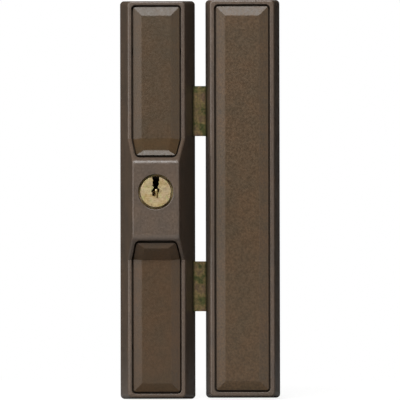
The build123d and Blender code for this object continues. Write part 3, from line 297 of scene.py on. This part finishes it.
def painted_recess_shade(finish, front, half_width, low, high):
    """1 where it is deeper than the y front, within half_width of x = 0 and from z low to high."""
    x, y, z = finish.split(finish.place)
    deep = finish.fit(y, front, front + RECESS_SHADE_DEPTH_FADE)
    above = finish.fit(z, low, low + RECESS_SHADE_HEIGHT_FADE)
    near = finish.math("LESS_THAN", finish.math("ABSOLUTE", x), half_width)
    below = finish.math("LESS_THAN", z, high)
    recess_shade = finish.math("MULTIPLY", finish.math("MULTIPLY", deep, above), near)
    return finish.math("MULTIPLY", recess_shade, below)


CLOUDS = {"size": 0.0034, "detail": 3.0, "shift": (4, 0, 9)}
CLOUD_SPAN = (0.42, 0.66)
CLOUD_ROUGHNESS = 0.08  # more in the dark clouds and less in the light ones
# Stains, each over the one before: copper pink, verdigris, and brown blots
BRASS_STAINS = (
    {
        "colour": (0.44, 0.31, 0.20),
        "span": (0.46, 0.60),
        "most": 0.55,
        "size": 0.0040,
        "shift": (6, 3, 1),
    },
    {
        "colour": (0.364, 0.406, 0.140),
        "span": (0.54, 0.66),
        "most": 0.55,
        "size": 0.0024,
        "shift": (8, 2, 3),
    },
    {
        "colour": (0.16, 0.085, 0.03),
        "span": (0.58, 0.68),
        "most": 0.8,
        "size": 0.0017,
        "detail": 3.0,
        "shift": (1, 6, 5),
    },
)
SCRATCHES_UP = {"size": 0.00035, "detail": 3.0, "stretch": (1, 1, 8)}
SCRATCHES_ACROSS = {"size": 0.00045, "detail": 3.0, "stretch": (9, 1, 1), "shift": (2, 2, 2)}
SCRATCH_SPAN = (0.45, 0.75)
SCRATCH_SHARE = 0.35
SCRATCH_COLOUR = (0.95, 0.85, 0.58)
SCRATCH_DEPTH = 0.00004


def brass(name, light, dark, roughness, recess_shade=None):
    """Cloudy, stained brass, scratched both ways, with painted shade where a recess is given."""
    finish = Finish(name, metallic=1.0)
    clouds = finish.noise(**CLOUDS)
    colour = finish.blend(finish.fit(clouds, *CLOUD_SPAN), dark, light)
    for stain in BRASS_STAINS:
        colour = finish.stain(colour, **stain)
    scratches = finish.math(
        "MAXIMUM", finish.noise(**SCRATCHES_UP), finish.noise(**SCRATCHES_ACROSS)
    )
    scratched = finish.fit(scratches, *SCRATCH_SPAN, 0.0, SCRATCH_SHARE)
    colour = finish.blend(scratched, colour, SCRATCH_COLOUR)
    rough = finish.fit(
        clouds, *SOFT_SPAN, roughness + CLOUD_ROUGHNESS, roughness - CLOUD_ROUGHNESS
    )
    if recess_shade is not None:
        share = painted_recess_shade(finish, **recess_shade)
        colour = finish.blend(share, colour, RECESS_SHADE_COLOUR)
        rough = finish.fit(share, 0, 1, rough, RECESS_SHADE_ROUGHNESS)
    return finish.surface(colour, rough, finish.bump(scratches, SCRATCH_DEPTH))


FILM = {"size": 0.0036, "detail": 4.0}
# The film's colours are darker than bare yellow zinc: painted shade of the narrow gap between the
# cases
FILM_GREEN_IN_SHADE = (0.070, 0.080, 0.036)
FILM_GOLD_IN_SHADE = (0.178, 0.140, 0.070)
FILM_PINK_IN_SHADE = (0.130, 0.092, 0.066)
GOLD_SPAN = (0.36, 0.52)
PINK_SPAN = (0.50, 0.70)
ZINC_GRAIN = {"size": 0.0010, "detail": 3.0, "shift": (3, 3, 3)}
ZINC_SPECKS = (1.66, 1.52, 1.32)
ZINC_ROUGHNESS = (0.38, 0.5)
ZINC_SKIN = {"size": 0.0008}
ZINC_SKIN_DEPTH = 0.00003
# Where the bolts cross the gap, in x, and how far from the cases' sides painted shade darkens them
GAP_MIDDLE = 0.02075
GAP_HALF = 0.00345
SHADE_BAND_SPAN = (0.0002, 0.0013)
SHADE_BAND_COLOUR = (0.026, 0.024, 0.011)


def yellow_zinc():
    """Yellow passivated zinc, whose thin film drifts between green, gold and pink, all kept dark as
    painted shade of the gap between the cases.

    Two dark bands of painted shade lie where the cases' sides meet the bolts.
    """
    finish = Finish("yellow_zinc", metallic=1.0)
    film = finish.noise(**FILM)
    grain = finish.noise(**ZINC_GRAIN)
    colour = finish.blend(finish.fit(film, *GOLD_SPAN), FILM_GREEN_IN_SHADE, FILM_GOLD_IN_SHADE)
    colour = finish.blend(finish.fit(film, *PINK_SPAN), colour, FILM_PINK_IN_SHADE)
    colour = finish.blend(finish.fit(grain, *FIRM_SPAN), colour, ZINC_SPECKS, "MULTIPLY")
    x = finish.split(finish.place)["X"]
    beside = finish.math("ABSOLUTE", finish.math("SUBTRACT", x, GAP_MIDDLE))
    beside = finish.math("ABSOLUTE", finish.math("SUBTRACT", beside, GAP_HALF))
    return finish.surface(
        finish.blend(finish.fit(beside, *SHADE_BAND_SPAN), SHADE_BAND_COLOUR, colour),
        finish.fit(grain, *SOFT_SPAN, *ZINC_ROUGHNESS),
        finish.bump(finish.noise(**ZINC_SKIN), ZINC_SKIN_DEPTH),
    )


STEEL_GRAIN = {"size": 0.0006, "detail": 3.0, "stretch": (1, 1, 14)}
STEEL_ROUGHER = 0.08
STEEL_SMOOTHER = 0.05
STEEL_GRAIN_DEPTH = 0.00001


def steel(name, light, dark, roughness):
    """Plain or plated steel with a faint drawn grain along the cases."""
    finish = Finish(name, metallic=1.0)
    grain = finish.noise(**STEEL_GRAIN)
    return finish.surface(
        finish.blend(finish.fit(grain, *SOFT_SPAN), dark, light),
        finish.fit(grain, *SOFT_SPAN, roughness + STEEL_ROUGHER, roughness - STEEL_SMOOTHER),
        finish.bump(grain, STEEL_GRAIN_DEPTH),
    )


# Painted shade darkens the keyway's walls, and the cylinder's seat where the keyway's mouth meets
# it
KEYWAY_SHADE = {"front": -0.0328, "half_width": 0.0100, "low": 0.0050, "high": 0.0200}
SEAT_SHADE = {"front": -0.0340, "half_width": 0.0017, "low": 0.0092, "high": 0.0110}

# The finish of each material slot
FINISHES = {
    "housing_paint": housing_paint(),
    "cover_plastic": cover_plastic("cover_plastic", level=1.26, tint=(0.98, 0.95, 0.89)),
    "plug_brass": brass(
        "plug_brass",
        light=(0.70, 0.565, 0.31),
        dark=(0.34, 0.235, 0.095),
        roughness=0.46,
        recess_shade=KEYWAY_SHADE,
    ),
    "cylinder_brass": brass(
        "cylinder_brass",
        light=(0.42, 0.31, 0.14),
        dark=(0.26, 0.18, 0.08),
        roughness=0.55,
        recess_shade=SEAT_SHADE,
    ),
    "yellow_zinc": yellow_zinc(),
    "zinc_steel": steel(
        "zinc_steel", light=(0.62, 0.63, 0.65), dark=(0.48, 0.49, 0.51), roughness=0.35
    ),
    "hard_steel": steel(
        "hard_steel", light=(0.46, 0.46, 0.47), dark=(0.34, 0.34, 0.35), roughness=0.32
    ),
}

# Three nodes have a finish of their own. The pins behind the keyway have a lighter brass, without
# the painted shade of the keyway's walls. The long cover is a shade lighter than the two short
# ones, and the lower one a shade redder.
NODE_FINISHES = {
    "key_pins": brass(
        "pin_brass", light=(0.86, 0.76, 0.52), dark=(0.66, 0.54, 0.30), roughness=0.35
    ),
    "lower_cover": cover_plastic("lower_plastic", level=1.26, tint=(0.94, 0.83, 0.70)),
    "strike_cover": cover_plastic("strike_plastic", level=1.54, tint=(1.0, 0.95, 0.89)),
}

for part in frame["record"]["subparts"]:
    node = frame["nodes"][part["node"]]
    for slot in node.material_slots:
        slot.material = NODE_FINISHES.get(part["node"], FINISHES[part["material_slot"]])


def aim(thing, azimuth, elevation, distance, roll=0.0):
    """Puts a lamp or the camera on one side of the lock, looking at the middle of the view."""
    direction = Vector(
        (
            math.sin(azimuth) * math.cos(elevation),
            -math.cos(azimuth) * math.cos(elevation),
            math.sin(elevation),
        )
    )
    thing.location = VIEW_CENTRE + direction * distance
    thing.rotation_mode = "QUATERNION"
    turn = Quaternion((0, 0, 1), roll)
    thing.rotation_quaternion = (-direction).to_track_quat("-Z", "Y") @ turn
    bpy.context.scene.collection.objects.link(thing)


def add_lamp(name, azimuth, elevation, size, radiance):
    """Square soft light, whose azimuth and elevation are in degrees, seen by no camera."""
    light = bpy.data.lights.new(name, "AREA")
    light.shape = "SQUARE"
    light.size = size
    light.energy = radiance * math.pi * size**2
    lamp = bpy.data.objects.new(name, light)
    lamp.visible_camera = False
    aim(lamp, math.radians(azimuth), math.radians(elevation), LAMP_DISTANCE)


def build_world():
    """Dim room with a white backdrop behind the lock; the camera sees white all round.

    The backdrop is a white patch in the direction behind the lock, which glossy rays see as well.
    Elsewhere they see the dim room, as in a photograph with dark surroundings beside the lock.
    """
    world = bpy.data.worlds.new("studio")
    world.use_nodes = True
    tree = Nodes(world.node_tree)
    direction = tree.nodes.new("ShaderNodeTexCoord").outputs["Generated"]
    facing = tree.add(
        "ShaderNodeVectorMath", {0: direction, 1: BACKDROP_DIRECTION}, operation="DOT_PRODUCT"
    ).outputs["Value"]
    backdrop = tree.fit(
        facing, math.cos(BACKDROP_ANGLE + BACKDROP_SOFTNESS), math.cos(BACKDROP_ANGLE)
    )
    colour = tree.blend(tree.white_rays(backdrop), ROOM, WHITE)
    tree.links.new(colour, tree.nodes["Background"].inputs["Color"])
    tree.nodes["Background"].inputs["Strength"].default_value = 1.0
    bpy.context.scene.world = world


def floor_material():
    """Grey, with white added for the camera, and for glossy rays in front of the lock.

    A floor that glossy rays saw white all round would make the dark side walls light at their feet.
    """
    material = bpy.data.materials.new("floor")
    material.use_nodes = True
    tree = Nodes(material.node_tree)
    grey = tree.add("ShaderNodeBsdfDiffuse", {"Color": FLOOR_GREY}).outputs[0]
    white = tree.add("ShaderNodeEmission", {"Color": WHITE, "Strength": FLOOR_WHITE}).outputs[0]
    bright = tree.add("ShaderNodeAddShader", {0: grey, 1: white}).outputs[0]
    place = tree.nodes.new("ShaderNodeNewGeometry").outputs["Position"]
    seen = tree.white_rays(tree.fit(tree.split(place)["Y"], FLOOR_NEAR, FLOOR_AHEAD))
    mix = tree.add("ShaderNodeMixShader", {0: seen, 1: grey, 2: bright}).outputs[0]
    tree.links.new(mix, tree.nodes["Material Output"].inputs["Surface"])
    return material


def build_floor():
    """Square floor at the lower ends of the cases, which keeps a faint shadow of them."""
    level = cad_bounds[0][2]
    half = FLOOR_SIZE / 2
    corners = [(-half, -half), (half, -half), (half, half), (-half, half)]
    mesh = bpy.data.meshes.new("floor")
    mesh.from_pydata([(VIEW_CENTRE.x + x, y, level) for x, y in corners], [], [(0, 1, 2, 3)])
    mesh.materials.append(floor_material())
    floor = bpy.data.objects.new("floor", mesh)
    bpy.context.scene.collection.objects.link(floor)


def build_camera():
    """Long lens on the photograph's side, whose view is VIEW_WIDTH wide at VIEW_CENTRE."""
    data = bpy.data.cameras.new("camera")
    data.sensor_width = SENSOR_WIDTH
    data.lens = SENSOR_WIDTH * CAMERA_DISTANCE / VIEW_WIDTH
    camera = bpy.data.objects.new("camera", data)
    aim(camera, VIEW_AZIMUTH, VIEW_ELEVATION, CAMERA_DISTANCE, VIEW_ROLL)
    bpy.context.scene.camera = camera


build_world()
build_floor()
build_camera()
for lamp_name, lamp_settings in LAMPS.items():
    add_lamp(lamp_name, *lamp_settings)
bpy.context.scene.view_settings.view_transform = "Standard"
